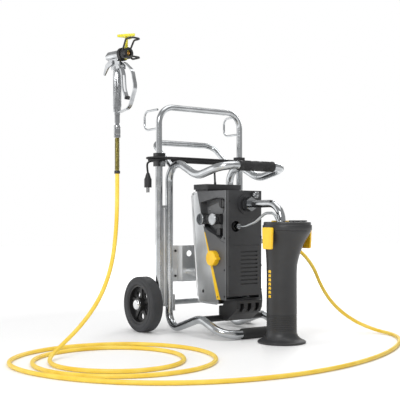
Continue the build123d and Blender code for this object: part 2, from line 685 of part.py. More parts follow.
def mains_coil():
    """Outer shape of the lead wound round both clamps."""
    def oval(radius):
        return SlotCenterToCenter(2 * COIL_X, 2 * radius)
    ring = Pos(0, COIL_Y) * (oval(COIL_OUT) - oval(COIL_IN))
    return extrude(Plane.XY.offset(COIL_Z[0]) * ring, COIL_Z[1] - COIL_Z[0])


def plug():
    """Mains plug hanging from the tail of the lead."""
    x, y, top = TAIL_ROUTE[-1]
    taper = Pos(x, y, top - 20) * Cone(12, 6, 20, align=(Align.CENTER, Align.CENTER, Align.MIN))
    body = taper + rod((x, y, top - 52), (x, y, top - 20), 13.5)
    for side in (-6, 6):
        body += rod((x, y + side, top - 70), (x, y + side, top - 52), 2.4)
    return body


def build():
    """Every node of the object by name."""
    coping = frame_right_filled()
    right_rail = frame_right()
    nodes = {
        "frame_right_tube": right_rail,
        "frame_left_tube": mirror(right_rail, Plane.YZ),
        "front_grip": sleeve(GRIP_Z, 76, 18.7),
        "foot_sleeve": sleeve(FOOT_R, 62, FOOT_R),
        "rear_bar": rear_bar(coping),
        "guide_tubes": both_sides(guide_tube()),
        "clamp_collars": both_sides(clamp_collar()),
        "side_plates": both_sides(side_plate(coping)),
        "axle": rod((-254, 0, WHEEL_R), (254, 0, WHEEL_R), AXLE_R),
        "axle_brackets": both_sides(axle_bracket(coping)),
        "cross_bracket": cross_bracket(coping),
        "fasteners": fasteners(),
        "support_bracket": support_bracket(coping),
        "handle_bar": handle_bar(),
        "side_hooks": both_sides(side_hook()),
        "pump_chassis": pump_chassis() + lead_gland(),
        "left_cover": left_cover(),
        "right_cover": right_cover(),
        "front_cover": front_cover(),
        "upper_block": upper_block(),
        "top_tray": top_tray(),
        "cover_stripes": both_sides(cover_stripe()),
        "motor_stator": motor_stator(),
        "motor_rotor": motor_rotor(),
        "pump_piston": pump_piston(),
        "hydraulic_housing": hydraulic_housing(),
        "pressure_manifold": pressure_manifold(),
        "gauge_cases": Compound(children=[gauge_case(y).solid() for y in GAUGE_Y]),
        "rear_gauge_needle": gauge_needle(GAUGE_Y[0]),
        "front_gauge_needle": gauge_needle(GAUGE_Y[1]),
        "pressure_knob": pressure_knob(),
        "relief_knob": relief_knob(),
        "power_switch": power_switch(),
        "pipe_nuts": pipe_nuts(),
        "suction_pipe": suction_pipe(),
        "return_pipe": return_pipe(),
        "hose_outlet": hose_outlet(),
        "cleaning_tube": cleaning_tube(),
        "tube_lid": tube_lid(),
        "gun_body": in_gun(gun_body()),
        "trigger_guard": in_gun(trigger_guard()),
        "trigger": in_gun(trigger()),
        "trigger_lock": in_gun(trigger_lock()),
        "tip_guard": in_gun(tip_guard()),
        "spray_tip": in_gun(spray_tip()),
        "hose_fitting": in_gun(hose_fitting()),
        "spring_guard": in_gun(spring_guard()),
        "paint_hose": cord("paint_hose", HOSE_ROUTE, HOSE_R),
        "mains_lead": cord("mains_lead", LEAD_ROUTE, LEAD_R),
        "mains_coil": mains_coil(),
        "mains_tail": cord("mains_tail", TAIL_ROUTE, LEAD_R),
        "plug": plug(),
    }
    for name, side in (("left", -1), ("right", 1)):
        nodes[name + "_tyre"] = on_axle(tyre(), side)
        nodes[name + "_rim"] = on_axle(rim(side), side)
        nodes[name + "_latch"] = latch(side)
        nodes[name + "_clamp_knob"] = clamp_knob(side)
    return nodes


os.makedirs("parts", exist_ok=True)
for node_name, shape in build().items():
    export_step(Pos(-ORIGIN.X, -ORIGIN.Y, -ORIGIN.Z) * shape, "parts/" + node_name + ".step")
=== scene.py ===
"""Looks of the airless paint sprayer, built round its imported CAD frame. Metres, +Z up."""
import bmesh
import bpy
import json
import math
from mathutils import Matrix, Vector


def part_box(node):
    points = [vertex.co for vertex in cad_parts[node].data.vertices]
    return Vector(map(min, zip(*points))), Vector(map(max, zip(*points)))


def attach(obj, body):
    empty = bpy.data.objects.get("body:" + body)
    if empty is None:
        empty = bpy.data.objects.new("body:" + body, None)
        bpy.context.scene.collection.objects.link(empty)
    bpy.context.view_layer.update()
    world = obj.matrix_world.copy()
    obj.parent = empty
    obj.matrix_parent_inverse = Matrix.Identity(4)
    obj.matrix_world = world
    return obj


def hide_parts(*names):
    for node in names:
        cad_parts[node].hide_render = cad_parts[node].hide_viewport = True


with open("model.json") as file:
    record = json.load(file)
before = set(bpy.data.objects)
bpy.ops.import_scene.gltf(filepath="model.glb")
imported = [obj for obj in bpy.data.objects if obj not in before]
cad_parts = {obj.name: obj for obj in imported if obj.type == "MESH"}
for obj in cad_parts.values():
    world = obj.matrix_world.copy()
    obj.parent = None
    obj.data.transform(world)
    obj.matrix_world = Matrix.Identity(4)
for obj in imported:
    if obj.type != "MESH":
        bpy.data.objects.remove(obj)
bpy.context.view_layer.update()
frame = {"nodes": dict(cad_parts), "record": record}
NODES = frame["nodes"]
JOINTS = {joint["name"]: joint for joint in frame["record"]["behaviour"]["joints"]}
MM = 0.001
HUB_CAP_RADIUS = 19.7 * MM


# ---- places, worked out from the frame ----
LEFT_HUB = Vector(JOINTS["left_wheel_spin"]["pos_m"])
RIGHT_HUB = Vector(JOINTS["right_wheel_spin"]["pos_m"])
CART = Vector(((LEFT_HUB.x + RIGHT_HUB.x) / 2, LEFT_HUB.y, 0))
GUN = Vector(JOINTS["gun_swivel"]["pos_m"]).xy.to_3d()
GUN_YAW = math.atan2(JOINTS["trigger_pull"]["axis"][1], JOINTS["trigger_pull"]["axis"][0])


def at(x, y, z):
    """Row-frame point from millimetres measured from the floor under the axle's middle."""
    return CART + Vector((x, y, z)) * MM


# ---- routes of the hose and the mains lead, and the camera ----
HOSE_REST = 0.0064
HOSE_DOWN = [
    (0.130, -0.270, 0.330), (0.184, -0.270, 0.330), (0.240, -0.312, 0.303),
    (0.272, -0.358, 0.240), (0.292, -0.377, 0.166), (0.325, -0.408, 0.097),
    (0.378, -0.452, 0.042), (0.425, -0.515, 0.011),
]
HOSE_LOOPS = [
    (0.425, -0.595), (0.360, -0.685), (0.255, -0.770), (0.120, -0.850),
    (-0.025, -0.910), (-0.180, -0.950), (-0.345, -0.965), (-0.510, -0.945),
    (-0.665, -0.885), (-0.790, -0.785), (-0.880, -0.650), (-0.925, -0.490),
    (-0.900, -0.340), (-0.790, -0.230), (-0.630, -0.185), (-0.460, -0.230),
    (-0.350, -0.355), (-0.325, -0.515), (-0.385, -0.660), (-0.515, -0.755),
    (-0.665, -0.760), (-0.790, -0.695), (-0.865, -0.580), (-0.870, -0.450),
    (-0.810, -0.330), (-0.695, -0.265), (-0.560, -0.265), (-0.450, -0.350),
    (-0.415, -0.480), (-0.460, -0.605), (-0.560, -0.680), (-0.680, -0.680),
    (-0.775, -0.610), (-0.820, -0.505),
]
HOSE_UP = [
    (-0.800, -0.400, 0.008), (-0.736, -0.343, 0.030), (-0.665, -0.352, 0.092),
    (-0.610, -0.371, 0.175), (-0.577, -0.379, 0.270), (-0.559, -0.372, 0.370),
    (-0.551, -0.365, 0.462), (-0.549, -0.361, 0.546),
]
HOSE_ROUTE = HOSE_DOWN + [(x, y, HOSE_REST) for x, y in HOSE_LOOPS] + HOSE_UP
LEAD_ROUTE = [(0.030, -0.088, 0.520), (0.031, -0.087, 0.545), (0.038, -0.0705, 0.622)]
TAIL_ROUTE = [(-0.174, 0.023, 0.6228), (-0.1975, 0.0171, 0.618), (-0.213, 0.003, 0.604),
              (-0.214, -0.007, 0.575)]

FOCAL = 74
HORIZON_SHIFT = 0.05
EYE = (-1815, -2532, 405)
HEADING = math.radians(-36)


def add_camera():
    """Level lens at cart height, its frame shifted up so that the horizon stands below the middle."""
    camera = bpy.data.cameras.new("camera")
    camera.lens = FOCAL
    camera.sensor_width = 36
    camera.shift_y = HORIZON_SHIFT
    eye = bpy.data.objects.new("camera", camera)
    eye.location = at(*EYE)
    eye.rotation_euler = (math.pi / 2, 0, HEADING)
    bpy.context.collection.objects.link(eye)
    bpy.context.scene.camera = eye


def add_lamp(name, place, size, watts, target):
    """Square soft box that faces a point."""
    lamp = bpy.data.lights.new(name, "AREA")
    lamp.shape = "SQUARE"
    lamp.size = size
    lamp.energy = watts
    box = bpy.data.objects.new(name, lamp)
    box.location = place
    box.rotation_euler = (Vector(target) - Vector(place)).to_track_quat("-Z", "Y").to_euler()
    bpy.context.collection.objects.link(box)


# ---- what every finish is made with ----
def linear(code):
    """Linear colour from an sRGB hex value."""
    parts = [int(code[i:i + 2], 16) / 255 for i in (1, 3, 5)]
    return (*[c / 12.92 if c <= 0.04045 else ((c + 0.055) / 1.055) ** 2.4 for c in parts], 1)


def add(tree, kind, settings=None, **links):
    """Adds one node: settings are its properties and socket values, links feed its sockets."""
    node = tree.nodes.new(kind)
    for key, value in (settings or {}).items():
        if key in node.inputs:
            node.inputs[key].default_value = value
        else:
            setattr(node, key, value)
    for key, source in links.items():
        tree.links.new(source, node.inputs[key.replace("_", " ")])
    return node


def finish(name, colour, metallic, roughness, **sockets):
    """Principled material with its plain values set on the shader's own sockets."""
    material = bpy.data.materials.new(name)
    material.use_nodes = True
    tree = material.node_tree
    shader = tree.nodes["Principled BSDF"]
    shader.inputs["Base Color"].default_value = linear(colour)
    shader.inputs["Metallic"].default_value = metallic
    shader.inputs["Roughness"].default_value = roughness
    for key, value in sockets.items():
        shader.inputs[key.replace("_", " ")].default_value = value
    return material, tree, shader


def size_of(millimetres):
    """Texture scale that repeats at a real size."""
    return 1 / (millimetres * MM)


def mottle(tree, shader, dark, light, patch_mm, rough):
    """Uneven tone and gloss in soft patches, as handling and casting leave."""
    place = add(tree, "ShaderNodeTexCoord")
    cloud = add(tree, "ShaderNodeTexNoise", {"Scale": size_of(patch_mm), "Detail": 5},
                Vector=place.outputs["Object"])
    tone = add(tree, "ShaderNodeValToRGB", Fac=cloud.outputs["Fac"])
    tone.color_ramp.elements[0].position = 0.3
    tone.color_ramp.elements[0].color = linear(dark)
    tone.color_ramp.elements[1].position = 0.7
    tone.color_ramp.elements[1].color = linear(light)
    gloss = add(tree, "ShaderNodeMapRange", {"To Min": rough[0], "To Max": rough[1]},
                Value=cloud.outputs["Fac"])
    tree.links.new(tone.outputs["Color"], shader.inputs["Base Color"])
    tree.links.new(gloss.outputs["Result"], shader.inputs["Roughness"])
    return place


def relief(tree, shader, height, strength, depth_mm):
    """Bump of a real depth under the shader."""
    bump = add(tree, "ShaderNodeBump", {"Strength": strength, "Distance": depth_mm * MM},
               Height=height)
    tree.links.new(bump.outputs["Normal"], shader.inputs["Normal"])


# ---- the finishes of this object ----
def zinc_plated_tube():
    """Bright zinc over drawn steel: pale, soft reflections with faint cloudy passivation."""
    material, tree, shader = finish("zinc_plated_tube", "#b6b9bb", 1, 0.2)
    place = mottle(tree, shader, "#a9acae", "#c3c5c7", 45, (0.14, 0.26))
    grain = add(tree, "ShaderNodeTexNoise", {"Scale": size_of(1.6), "Detail": 2},
                Vector=place.outputs["Object"])
    relief(tree, shader, grain.outputs["Fac"], 0.04, 0.03)
    return material


def drawn_along(name, dark, light, rough, stretch):
    """Metal with fine scratches that run straight along the axis with a small scale."""
    material, tree, shader = finish(name, light, 1, rough[0])
    place = mottle(tree, shader, dark, light, 60, rough)
    along = add(tree, "ShaderNodeMapping", {"Scale": stretch}, Vector=place.outputs["Object"])
    lines = add(tree, "ShaderNodeTexNoise", {"Scale": size_of(2.4), "Detail": 3},
                Vector=along.outputs["Vector"])
    relief(tree, shader, lines.outputs["Fac"], 0.08, 0.04)
    return material


def satin_steel_sheet():
    """Folded stainless sheet: a vertical brushed grain that blurs what it reflects."""
    return drawn_along("satin_steel_sheet", "#d2d4d5", "#e6e7e8", (0.3, 0.42), (1, 1, 0.06))


def polished_steel_tube():
    """Polished suction pipe, nuts and bright trim: sharp dark and white bands along the bend."""
    material, tree, shader = finish("polished_steel_tube", "#a6a8aa", 1, 0.08)
    mottle(tree, shader, "#989a9c", "#b4b6b8", 30, (0.05, 0.12))
    return material


def machined_steel():
    """Turned steel fittings with faint tool marks."""
    return drawn_along("machined_steel", "#8f9294", "#b5b8ba", (0.25, 0.4), (0.1, 1, 1))


def grained_housing(name, dark, light, rough):
    """Moulded housing plastic: an even leather-like grain that keeps highlights broad and dull."""
    material, tree, shader = finish(name, light, 0, rough[0], IOR=1.53)
    place = mottle(tree, shader, dark, light, 90, rough)
    grain = add(tree, "ShaderNodeTexVoronoi", {"Scale": size_of(1.5)},
                Vector=place.outputs["Object"])
    relief(tree, shader, grain.outputs["Distance"], 0.22, 0.12)
    return material


def moulded_polyamide(name, dark, light):
    """Coloured polyamide of the knob, latches and tip key: smooth, faintly glossy, slightly deep."""
    material, tree, shader = finish(name, light, 0, 0.38, IOR=1.5, Subsurface_Weight=0.05)
    place = mottle(tree, shader, dark, light, 35, (0.32, 0.46))
    grain = add(tree, "ShaderNodeTexNoise", {"Scale": size_of(0.9), "Detail": 2},
                Vector=place.outputs["Object"])
    relief(tree, shader, grain.outputs["Fac"], 0.1, 0.05)
    return material


def moulded_rubber(name, dark, light, patch_mm):
    """Black rubber: nearly no highlight, paler where dust and handling have dulled it."""
    material, tree, shader = finish(name, light, 0, 0.7, IOR=1.52)
    place = mottle(tree, shader, dark, light, patch_mm, (0.55, 0.8))
    pores = add(tree, "ShaderNodeTexNoise", {"Scale": size_of(1.2), "Detail": 4},
                Vector=place.outputs["Object"])
    relief(tree, shader, pores.outputs["Fac"], 0.25, 0.1)
    return material


def powder_coat(name, dark, light, rough):
    """Powder-coated metal: fine orange-peel texture under a soft sheen."""
    material, tree, shader = finish(name, light, 0, rough[0], IOR=1.5)
    place = mottle(tree, shader, dark, light, 70, rough)
    peel = add(tree, "ShaderNodeTexNoise", {"Scale": size_of(2.2), "Detail": 1},
               Vector=place.outputs["Object"])
    relief(tree, shader, peel.outputs["Fac"], 0.2, 0.12)
    return material


def cast_aluminium():
    """Bead-blasted and polished casting of the gun: bright, with a satin bloom."""
    material, tree, shader = finish("cast_aluminium", "#9c9ea0", 1, 0.16)
    place = mottle(tree, shader, "#a2a4a6", "#c4c6c8", 16, (0.1, 0.2))
    beads = add(tree, "ShaderNodeTexNoise", {"Scale": size_of(0.8), "Detail": 2},
                Vector=place.outputs["Object"])
    relief(tree, shader, beads.outputs["Fac"], 0.03, 0.02)
    return material


def extruded_hose_jacket():
    """Yellow polyurethane hose jacket: a soft wet gloss over the braid's faint diagonal print."""
    material, tree, shader = finish("extruded_hose_jacket", "#f4cf45", 0, 0.4, IOR=1.5)
    place = mottle(tree, shader, "#edc536", "#f8d95c", 55, (0.34, 0.48))
    braid = add(tree, "ShaderNodeTexWave", {"Scale": size_of(22), "wave_type": "BANDS",
                                            "bands_direction": "DIAGONAL", "Distortion": 0.4},
                Vector=place.outputs["Object"])
    relief(tree, shader, braid.outputs["Fac"], 0.08, 0.1)
    return material


def wound_copper():
    """Lacquered copper windings round the stator: fine dark and bright bands, painted shade between the
    turns and painted highlight on their crowns.
    """
    material, tree, shader = finish("wound_copper", "#9a5a2e", 1, 0.35)
    place = add(tree, "ShaderNodeTexCoord")
    turns = add(tree, "ShaderNodeTexWave", {"Scale": size_of(6), "bands_direction": "Y"},
                Vector=place.outputs["Object"])
    # Dark colour is painted shade between the turns, bright colour painted highlight on the wire.
    tone = add(tree, "ShaderNodeValToRGB", Fac=turns.outputs["Fac"])
    tone.color_ramp.elements[0].color = linear("#4d2712")
    tone.color_ramp.elements[1].color = linear("#b87040")
    tree.links.new(tone.outputs["Color"], shader.inputs["Base Color"])
    return material


def printed_dial():
    """White enamelled gauge dial with a faint warm unevenness."""
    material, tree, shader = finish("printed_dial", "#f3f3f0", 0, 0.45)
    mottle(tree, shader, "#e6e6e1", "#fbfbf9", 12, (0.4, 0.5))
    return material


def bronzed_spring_wire():
    """Heat-tinted spring wire: olive-bronze with brighter rubbed crowns."""
    material, tree, shader = finish("bronzed_spring_wire", "#8d8247", 1, 0.35)
    mottle(tree, shader, "#6f6634", "#a39a5c", 5, (0.28, 0.45))
    return material


def capped_wheel_centre():
    """Black nylon wheel centre whose domed hub cap is chromed: the cap flashes, the rest is dull."""
    material, tree, shader = finish("capped_wheel_centre", "#1b1b1c", 0, 0.5, IOR=1.53)
    place = add(tree, "ShaderNodeTexCoord")
    hub = add(tree, "ShaderNodeVectorMath", {"operation": "SUBTRACT"})
    tree.links.new(place.outputs["Object"], hub.inputs[0])
    hub.inputs[1].default_value = LEFT_HUB
    flat = add(tree, "ShaderNodeVectorMath", {"operation": "MULTIPLY"})
    tree.links.new(hub.outputs["Vector"], flat.inputs[0])
    flat.inputs[1].default_value = (0, 1, 1)
    reach = add(tree, "ShaderNodeVectorMath", {"operation": "LENGTH"})
    tree.links.new(flat.outputs["Vector"], reach.inputs[0])
    cap = add(tree, "ShaderNodeMath", {"operation": "LESS_THAN"})
    tree.links.new(reach.outputs["Value"], cap.inputs[0])
    cap.inputs[1].default_value = HUB_CAP_RADIUS
    tone = add(tree, "ShaderNodeValToRGB", Fac=cap.outputs["Value"])
    tone.color_ramp.elements[0].color = linear("#1e1e1f")
    tone.color_ramp.elements[1].color = linear("#dedfe0")
    gloss = add(tree, "ShaderNodeMapRange", {"To Min": 0.5, "To Max": 0.1}, Value=cap.outputs["Value"])
    tree.links.new(tone.outputs["Color"], shader.inputs["Base Color"])
    tree.links.new(cap.outputs["Value"], shader.inputs["Metallic"])
    tree.links.new(gloss.outputs["Result"], shader.inputs["Roughness"])
    grain = add(tree, "ShaderNodeTexNoise", {"Scale": size_of(1.5)}, Vector=place.outputs["Object"])
    relief(tree, shader, grain.outputs["Fac"], 0.04, 0.03)
    return material


ZINC = zinc_plated_tube()
WHEEL_CENTRE = capped_wheel_centre()
SHEET = satin_steel_sheet()
POLISHED = polished_steel_tube()
STEEL = machined_steel()
COVER_GREY = grained_housing("grey_abs_housing", "#4d4e50", "#5a5b5d", (0.42, 0.55))
COVER_BLACK = grained_housing("black_abs_housing", "#2b2b2d", "#37383a", (0.4, 0.55))
CUP_PLASTIC = grained_housing("black_polypropylene", "#242425", "#303133", (0.34, 0.5))
NYLON = grained_housing("glass_filled_nylon", "#161617", "#222224", (0.38, 0.5))
RECESS_GREY = grained_housing("pale_abs_panel", "#6a6b6d", "#7b7c7e", (0.4, 0.55))
YELLOW = moulded_polyamide("signal_yellow_polyamide", "#f5c010", "#ffd02c")
KEY_YELLOW = moulded_polyamide("lemon_polyamide", "#cfc41c", "#dfd636")
RUBBER = moulded_rubber("moulded_grip_rubber", "#151516", "#242425", 40)
TYRE = moulded_rubber("solid_tyre_rubber", "#2a2b2d", "#3c3d40", 60)
LEAD = moulded_rubber("rubber_mains_sheath", "#141415", "#202022", 30)
BLACK_COAT = powder_coat("black_powder_coat", "#181819", "#252527", (0.35, 0.5))
GUN_METAL = cast_aluminium()
HOSE = extruded_hose_jacket()
COPPER = wound_copper()
BRASS = drawn_along("turned_brass", "#b98a4a", "#d9a863", (0.2, 0.3), (1, 1, 1))
# Paler, glossier grey for the covers' front edges: painted highlight on their rounded corners.
EDGE_HIGHLIGHT_GREY = grained_housing("edge_highlight_abs", "#5c5d5f", "#6c6d6f", (0.34, 0.45))
DIAL = printed_dial()
SPRING = bronzed_spring_wire()

NODE_FINISH = {
    ZINC: ["frame_left_tube", "frame_right_tube", "rear_bar", "guide_tubes", "handle_bar",
           "side_hooks"],
    SHEET: ["pump_chassis", "cross_bracket", "axle_brackets", "side_plates"],
    POLISHED: ["suction_pipe", "pipe_nuts", "hose_fitting"],
    STEEL: ["axle", "motor_rotor", "pump_piston", "return_pipe", "hose_outlet", "gauge_cases",
            "left_clamp_knob", "right_clamp_knob"],
    COVER_GREY: ["left_cover", "right_cover"],
    COVER_BLACK: ["front_cover", "upper_block", "top_tray"],
    CUP_PLASTIC: ["cleaning_tube", "tube_lid"],
    NYLON: ["tip_guard", "relief_knob", "power_switch", "plug"],
    YELLOW: ["cover_stripes", "pressure_knob", "left_latch", "right_latch"],
    KEY_YELLOW: ["spray_tip"],
    RUBBER: ["foot_sleeve"],
    TYRE: ["left_tyre", "right_tyre"],
    WHEEL_CENTRE: ["left_rim", "right_rim"],
    BLACK_COAT: ["clamp_collars", "support_bracket", "pressure_manifold", "hydraulic_housing",
                 "fasteners", "rear_gauge_needle", "front_gauge_needle"],
    GUN_METAL: ["gun_body", "trigger_guard", "trigger", "trigger_lock"],
    COPPER: ["motor_stator"],
}


def dress_nodes():
    """Gives each CAD node its finish."""
    for material, names in NODE_FINISH.items():
        for name in names:
            node = NODES[name]
            for held in node.material_slots:
                held.material = material
            if not node.material_slots:
                node.data.materials.append(material)


# ---- mesh building ----
def piece(name, mesh, material, body="root", smooth=True, bevel=0.0):
    """A finished mesh as a piece of the object that rides on one body."""
    data = bpy.data.meshes.new(name)
    bmesh.ops.remove_doubles(mesh, verts=mesh.verts, dist=1e-6)
    bmesh.ops.recalc_face_normals(mesh, faces=mesh.faces)
    mesh.to_mesh(data)
    mesh.free()
    shape = bpy.data.objects.new(name, data)
    bpy.context.collection.objects.link(shape)
    data.materials.append(material)
    if bevel:
        edge = shape.modifiers.new("edge", "BEVEL")
        edge.width = bevel
        edge.segments = 3
        edge.limit_method = "ANGLE"
        edge.angle_limit = math.radians(40)
    if smooth:
        data.shade_smooth()
        data.set_sharp_from_angle(angle=math.radians(35))
    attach(shape, body)
    return shape


def frame_along(axis, origin):
    """Placement whose own Z points along axis."""
    turn = Vector(axis).to_track_quat("Z", "Y").to_matrix().to_4x4()
    return Matrix.Translation(origin) @ turn


def join_loops(mesh, loops):
    """Walls between each loop of points and the next."""
    for low, high in zip(loops, loops[1:]):
        for step in range(len(low)):
            after = (step + 1) % len(low)
            mesh.faces.new((low[step], low[after], high[after], high[step]))


def turned(profile, placement, steps=48):
    """Surface of revolution from (radius, height) points in millimetres."""
    mesh = bmesh.new()
    rings = []
    for radius, height in profile:
        ring = []
        for step in range(steps):
            angle = 2 * math.pi * step / steps
            point = Vector((radius * math.cos(angle), radius * math.sin(angle), height)) * MM
            ring.append(mesh.verts.new(placement @ point))
        rings.append(ring)
    join_loops(mesh, rings)
    for ring, end in ((rings[0], profile[0]), (rings[-1], profile[-1])):
        if end[0] > 0.01:
            mesh.faces.new(ring)
    return mesh


def slab(mesh, low, high, placement=None):
    """Box between two corners in millimetres, added to a mesh."""
    placement = placement or Matrix.Identity(4)
    corners = [(x, y, z) for x in (low[0], high[0]) for y in (low[1], high[1])
               for z in (low[2], high[2])]
    verts = [mesh.verts.new(placement @ (Vector(c) * MM)) for c in corners]
    for face in ((0, 1, 3, 2), (4, 6, 7, 5), (0, 4, 5, 1), (2, 3, 7, 6), (0, 2, 6, 4),
                 (1, 5, 7, 3)):
        mesh.faces.new([verts[i] for i in face])
    return mesh


def wire_mesh(points, radius, sides=8):
    """Round wire of a millimetre radius that follows points, closed at both ends."""
    mesh = bmesh.new()
    rings = []
    side = None
    for index, point in enumerate(points):
        before = points[max(index - 1, 0)]
        after = points[min(index + 1, len(points) - 1)]
        heading = (after - before).normalized()
        if side is None:
            side = heading.orthogonal()
        side = (side - heading * side.dot(heading)).normalized()
        across = heading.cross(side)
        ring = []
        for step in range(sides):
            angle = 2 * math.pi * step / sides
            offset = side * math.cos(angle) + across * math.sin(angle)
            ring.append(mesh.verts.new(point + offset * radius * MM))
        rings.append(ring)
    join_loops(mesh, rings)
    mesh.faces.new(rings[0])
    mesh.faces.new(rings[-1])
    return mesh


def spline(name, points, radius, material):
    """Round cord on a smooth spline whose control points are the route."""
    curve = bpy.data.curves.new(name, "CURVE")
    curve.dimensions = "3D"
    curve.bevel_depth = radius
    curve.bevel_resolution = 5
    curve.resolution_u = 12
    curve.use_fill_caps = True
    line = curve.splines.new("NURBS")
    line.points.add(len(points) - 1)
    for knot, point in zip(line.points, points):
        knot.co = (*point, 1)
    line.order_u = 3
    line.use_endpoint_u = True
    curve.materials.append(material)
    shape = bpy.data.objects.new(name, curve)
    bpy.context.collection.objects.link(shape)
    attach(shape, "root")
    return shape


# ---- hose and mains lead ----
HOSE_RADIUS = 6.25 * MM
LEAD_RADIUS = 3.6 * MM
COIL_HALF = 174
COIL_MIDDLE = -27
COIL_STRAIGHT = 120
COIL_RADII = (42.8, 42.8, 50.0, 50.0)
COIL_HEIGHTS = (622.8, 630.0, 630.0, 622.8)
GUARD_RING = 9
GUARD_TURNS = 26
GUARD_COIL = 6.4
GUARD_WIRE = 1.35
GUARD_END = 1.6


def lay_hose():
    """The yellow high-pressure hose from the pump's outlet to the gun."""
    points = [CART + Vector(point) for point in HOSE_ROUTE]
    hose = spline("yellow_hose", points, HOSE_RADIUS, HOSE)
    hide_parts("paint_hose")
    return hose, points


def round_clamp(side, radius, angles):
    """Stations of one turn of the lead round the clamp on one side."""
    return [(side * COIL_HALF + radius * math.cos(math.radians(angle)),
             COIL_MIDDLE + radius * math.sin(math.radians(angle))) for angle in angles]


def coil_points():
    """Turns of the lead round both clamps, each at its own radius and layer."""
    points = []
    last = len(COIL_RADII) - 1
    for turn, (radius, height) in enumerate(zip(COIL_RADII, COIL_HEIGHTS)):
        front = COIL_MIDDLE - radius
        rear = COIL_MIDDLE + radius
        stations = [(COIL_STRAIGHT, front)]
        if turn > 0:
            stations = [(-COIL_STRAIGHT, front), (0, front)] + stations
        stations += round_clamp(1, radius, (-60, -30, 0, 30, 60))
        stations += [(COIL_STRAIGHT, rear), (0, rear), (-COIL_STRAIGHT, rear)]
        if turn < last:
            stations += round_clamp(-1, radius, (120, 150, 180, 210, 240))
        points += [at(x, y, height) for x, y in stations]
    return points


def wind_lead():
    """The black mains lead: up from its gland, round the clamps and down to its plug."""
    points = [CART + Vector(point) for point in LEAD_ROUTE]
    points += coil_points()
    points += [CART + Vector(point) for point in TAIL_ROUTE]
    lead = spline("mains_lead_wound", points, LEAD_RADIUS, LEAD)
    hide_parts("mains_lead", "mains_coil", "mains_tail")
    return lead, points


def bend_guard():
    """Open-wound spring over the hose below the gun, with its black end ring."""
    low, high = (Vector(corner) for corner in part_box("spring_guard"))
    axis = (low + high).xy.to_3d() / 2
    foot = low.z + GUARD_RING * MM
    first = foot + GUARD_END * MM
    rise = high.z - foot - 2 * GUARD_END * MM
    steps = 16
    points = []
    for step in range(GUARD_TURNS * steps + 1):
        angle = 2 * math.pi * step / steps
        height = first + rise * step / (GUARD_TURNS * steps)
        points.append(axis + Vector((GUARD_COIL * MM * math.cos(angle),
                                     GUARD_COIL * MM * math.sin(angle), height)))
    wire = piece("bend_guard_spring", wire_mesh(points, GUARD_WIRE), SPRING)
    placement = Matrix.Translation(axis + Vector((0, 0, low.z)))
    length = (high.z - low.z) / MM
    core = turned([(0, 0), (5.6, 0), (5.6, length), (0, length)], placement)
    sleeve = piece("bend_guard_core", core, SPRING)
    ring = turned([(6.2, 0), (8.4, 0), (8.9, 0.8), (8.9, 8.2), (8.4, GUARD_RING), (6.2, GUARD_RING)],
                  placement)
    band = piece("bend_guard_ring", ring, NYLON)
    for part in (wire, sleeve, band):
        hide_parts("spring_guard")
    return [wire, sleeve, band]


# ---- room ----
def paper_floor():
    """Flat white paper floor with a painted glow that brightens it away from the cart."""
    mesh = bmesh.new()
    slab(mesh, (-9000, -9000, -20), (9000, 9000, 0))
    material, tree, shader = finish("seamless_paper_painted_glow", "#f4f4f4", 0, 0.6, Emission_Color=linear("#ffffff"))
    place = add(tree, "ShaderNodeTexCoord")
    # Painted glow: emission strength rises from 0.03 near the cart to 0.75 beyond 3.2 m, so the paper
    # stands in for lit floor far off.
    reach = add(tree, "ShaderNodeVectorMath", {"operation": "LENGTH"}, Vector=place.outputs["Object"])
    glow = add(tree, "ShaderNodeMapRange", {"From Min": 0.9, "From Max": 3.2, "To Min": 0.03,
                                            "To Max": 0.75}, Value=reach.outputs["Value"])
    tree.links.new(glow.outputs["Result"], shader.inputs["Emission Strength"])
    fibre = add(tree, "ShaderNodeTexNoise", {"Scale": size_of(4)}, Vector=place.outputs["Object"])
    relief(tree, shader, fibre.outputs["Fac"], 0.02, 0.02)
    floor = piece("paper_floor", mesh, material)


def light_room():
    """White room with soft boxes overhead, at the front left and at both rear corners."""
    world = bpy.data.worlds.new("studio")
    bpy.context.scene.world = world
    world.use_nodes = True
    tree = world.node_tree
    backdrop = tree.nodes["Background"]
    backdrop.inputs["Color"].default_value = linear("#ffffff")
    walls = add(tree, "ShaderNodeBackground", {"Color": linear("#ffffff"), "Strength": 0.5})
    seen = add(tree, "ShaderNodeLightPath")
    mix = add(tree, "ShaderNodeMixShader", {}, Fac=seen.outputs["Is Camera Ray"])
    tree.links.new(walls.outputs["Background"], mix.inputs[1])
    tree.links.new(backdrop.outputs["Background"], mix.inputs[2])
    tree.links.new(mix.outputs["Shader"], tree.nodes["World Output"].inputs["Surface"])
    target = at(0, -250, 350)
    add_lamp("overhead_box", at(200, -500, 3200), size=2.4, watts=42, target=target)
    add_lamp("key_box", at(-2600, -1900, 2000), size=1.2, watts=44, target=target)
    add_lamp("side_box", at(-2400, 2400, 700), size=2.6, watts=22, target=target)
    add_lamp("rim_box", at(2400, 1500, 1800), size=1.2, watts=28, target=target)


# ---- cleaning tube and its lid ----
TUBE_AXIS_Y = -493
CUP_AXIS_Y = -520
TUBE_R = 50
CUP_R = 80.5


def lofted(rings, steps=72):
    """Closed skin through level circles, each (y of its middle, z, radius) in millimetres."""
    mesh = bmesh.new()
    loops = []
    for middle_y, height, radius in rings:
        loop = []
        for step in range(steps):
            angle = 2 * math.pi * step / steps
            loop.append(mesh.verts.new(at(radius * math.cos(angle),
                                          middle_y + radius * math.sin(angle), height)))
        loops.append(loop)
    join_loops(mesh, loops)
    mesh.faces.new(loops[0])
    mesh.faces.new(loops[-1])
    return mesh


def flare(share):
    """Bell curve of the flare: slow at first, then opening quickly under the collar."""
    return 0.45 * share + 0.55 * share ** 2.4


